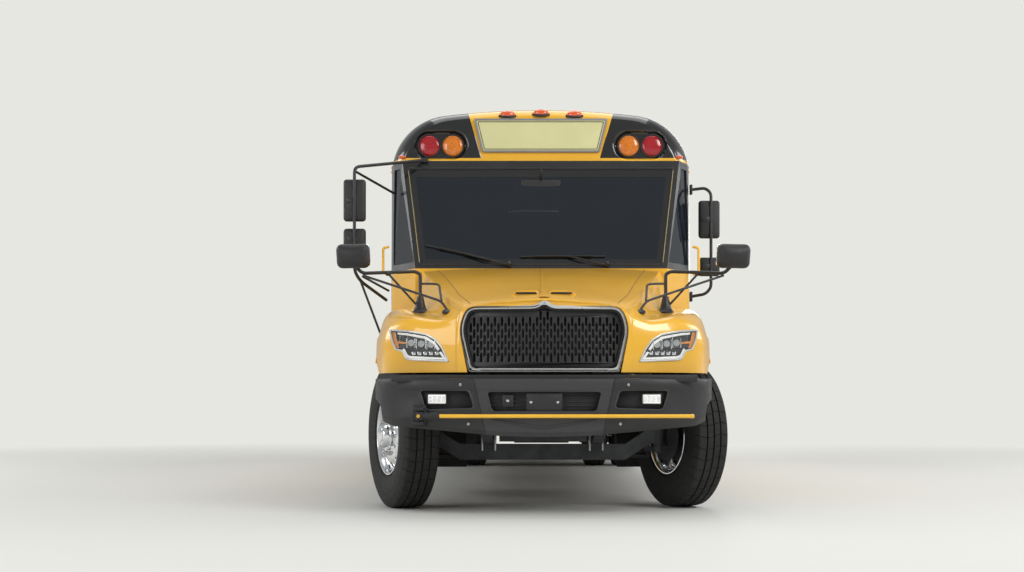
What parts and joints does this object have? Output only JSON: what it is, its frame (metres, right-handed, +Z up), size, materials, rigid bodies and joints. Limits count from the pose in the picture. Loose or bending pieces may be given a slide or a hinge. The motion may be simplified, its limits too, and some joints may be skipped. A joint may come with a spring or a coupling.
{
  "type": "school bus",
  "caption": "Yellow conventional school bus with a tilting hood, twin rear wheels, steered front wheels, swinging doors, roof hatches, and stop and crossing arms.",
  "frame": {"origin": "on the floor under the middle of the bus's box", "axes": "+Z up, -Y forward, +X towards the driver's side"},
  "size_m": [2.988, 11.56, 3.191],
  "materials": {
    "frame_steel": "semi-matte black chassis paint",
    "engine_block": "painted casting",
    "bare_metal": "satin steel",
    "tank_metal": "satin",
    "exhaust_metal": "heat-stained steel",
    "tyre_rubber": "dull black rubber",
    "wheel_alloy": "polished",
    "bus_yellow": "gloss school-bus yellow",
    "floor_rubber": "ribbed rubber over plywood",
    "tinted_glass": "tinted",
    "black_plastic": "gloss black",
    "dark_plastic": "grained black",
    "bright_trim": "satin bright",
    "lamp_lens": "clear lens",
    "red_lens": "red lens",
    "bumper_paint": "satin dark grey",
    "arm_yellow": "yellow arm",
    "sign_red": "reflective red with a white border",
    "seat_vinyl": "dark green vinyl",
    "driver_vinyl": "dark grey fabric",
    "flap_rubber": "black rubber"
  },
  "bodies": {
    "chassis": {"chassis_frame": "frame_steel", "front_axle": "frame_steel", "rear_axle": "frame_steel", "leaf_springs": "frame_steel", "drive_shaft": "bare_metal", "engine": "engine_block", "radiator": "tank_metal", "fuel_tank": "tank_metal", "exhaust": "exhaust_metal", "floor": "floor_rubber", "entry_steps": "floor_rubber", "front_body": "bus_yellow", "front_cap": "bus_yellow", "side_wall_left": "bus_yellow", "side_wall_right": "bus_yellow", "roof": "bus_yellow", "rear_wall": "bus_yellow", "windshield": "tinted_glass", "body_windows": "tinted_glass", "side_mirrors": "black_plastic", "front_bumper": "bumper_paint", "rear_bumper": "bumper_paint", "body_lamps": "red_lens", "passenger_seats": "seat_vinyl", "driver_seat": "driver_vinyl", "dashboard": "dark_plastic", "steering_wheel": "dark_plastic", "mud_flaps": "flap_rubber"},
    "knuckle_left": {"knuckle_left": "frame_steel"},
    "knuckle_right": {"knuckle_right": "frame_steel"},
    "tie_rod": {"tie_rod": "frame_steel"},
    "wheel_front_left": {"tyre_front_left": "tyre_rubber", "rim_front_left": "wheel_alloy"},
    "wheel_front_right": {"tyre_front_right": "tyre_rubber", "rim_front_right": "wheel_alloy"},
    "wheels_rear_left": {"tyres_rear_left": "tyre_rubber", "rims_rear_left": "wheel_alloy"},
    "wheels_rear_right": {"tyres_rear_right": "tyre_rubber", "rims_rear_right": "wheel_alloy"},
    "hood": {"hood": "bus_yellow", "grille": "dark_plastic", "grille_surround": "bright_trim", "headlamps": "lamp_lens", "fender_mirrors": "black_plastic"},
    "entry_door_front": {"entry_door_front_leaf": "bus_yellow", "entry_door_front_glass": "tinted_glass"},
    "entry_door_rear": {"entry_door_rear_leaf": "bus_yellow", "entry_door_rear_glass": "tinted_glass"},
    "rear_door": {"rear_door": "bus_yellow", "rear_door_glass": "tinted_glass"},
    "roof_hatch_front": {"roof_hatch_front": "bus_yellow"},
    "roof_hatch_rear": {"roof_hatch_rear": "bus_yellow"},
    "crossing_arm": {"crossing_arm": "arm_yellow"},
    "stop_arm": {"stop_arm": "sign_red"}
  },
  "joints": [
    {"name": "steer_left", "type": "hinge", "parent": "chassis", "child": "knuckle_left", "pos_m": [0.845, -4.7, 0.525], "axis": [0, 0, 1], "range_deg": [-61, 19]},
    {"name": "steer_right", "type": "hinge", "parent": "chassis", "child": "knuckle_right", "pos_m": [-0.845, -4.7, 0.525], "axis": [0, 0, 1], "range_deg": [-61, 19]},
    {"name": "tie_rod_pivot", "type": "hinge", "parent": "knuckle_left", "child": "tie_rod", "pos_m": [0.78408, -4.54129, 0.42], "axis": [0, 0, 1], "range_deg": [-19, 61]},
    {"name": "spin_front_left", "type": "hinge", "parent": "knuckle_left", "child": "wheel_front_left", "pos_m": [1.01304, -4.63549, 0.525], "axis": [0.9336, 0.3584, 0], "continuous": true},
    {"name": "spin_front_right", "type": "hinge", "parent": "knuckle_right", "child": "wheel_front_right", "pos_m": [-1.01304, -4.76451, 0.525], "axis": [0.9336, 0.3584, 0], "continuous": true},
    {"name": "spin_rear_left", "type": "hinge", "parent": "chassis", "child": "wheels_rear_left", "pos_m": [1, 2.31, 0.525], "axis": [1, 0, 0], "continuous": true},
    {"name": "spin_rear_right", "type": "hinge", "parent": "chassis", "child": "wheels_rear_right", "pos_m": [-1, 2.31, 0.525], "axis": [1, 0, 0], "continuous": true},
    {"name": "entry_door_front_hinge", "type": "hinge", "parent": "chassis", "child": "entry_door_front", "pos_m": [-1.219, -3.29, 1.4], "axis": [0, 0, 1], "range_deg": [0, 90]},
    {"name": "entry_door_rear_hinge", "type": "hinge", "parent": "chassis", "child": "entry_door_rear", "pos_m": [-1.219, -2.49, 1.4], "axis": [0, 0, 1], "range_deg": [-90, 0]},
    {"name": "rear_door_hinge", "type": "hinge", "parent": "chassis", "child": "rear_door", "pos_m": [-0.335, 5.717, 1.9], "axis": [0, 0, 1], "range_deg": [0, 110]},
    {"name": "hood_tilt", "type": "hinge", "parent": "chassis", "child": "hood", "pos_m": [0, -5.68, 0.8], "axis": [1, 0, 0], "range_deg": [0, 60]},
    {"name": "crossing_arm_hinge", "type": "hinge", "parent": "chassis", "child": "crossing_arm", "pos_m": [-0.832, -5.738, 0.672], "axis": [0, 0, 1], "range_deg": [-90, 0]},
    {"name": "stop_arm_hinge", "type": "hinge", "parent": "chassis", "child": "stop_arm", "pos_m": [1.249, -2.22, 1.56], "axis": [0, 0, 1], "range_deg": [-90, 0]},
    {"name": "roof_hatch_front_hinge", "type": "hinge", "parent": "chassis", "child": "roof_hatch_front", "pos_m": [0, -1.31, 3.15], "axis": [1, 0, 0], "range_deg": [0, 95]},
    {"name": "roof_hatch_rear_hinge", "type": "hinge", "parent": "chassis", "child": "roof_hatch_rear", "pos_m": [0, 2.49, 3.15], "axis": [1, 0, 0], "range_deg": [0, 95]}
  ],
  "couplings": [
    {"joint": "steer_right", "follows": "steer_left", "ratio": 1},
    {"joint": "tie_rod_pivot", "follows": "steer_left", "ratio": -1},
    {"joint": "entry_door_rear_hinge", "follows": "entry_door_front_hinge", "ratio": -1}
  ]
}
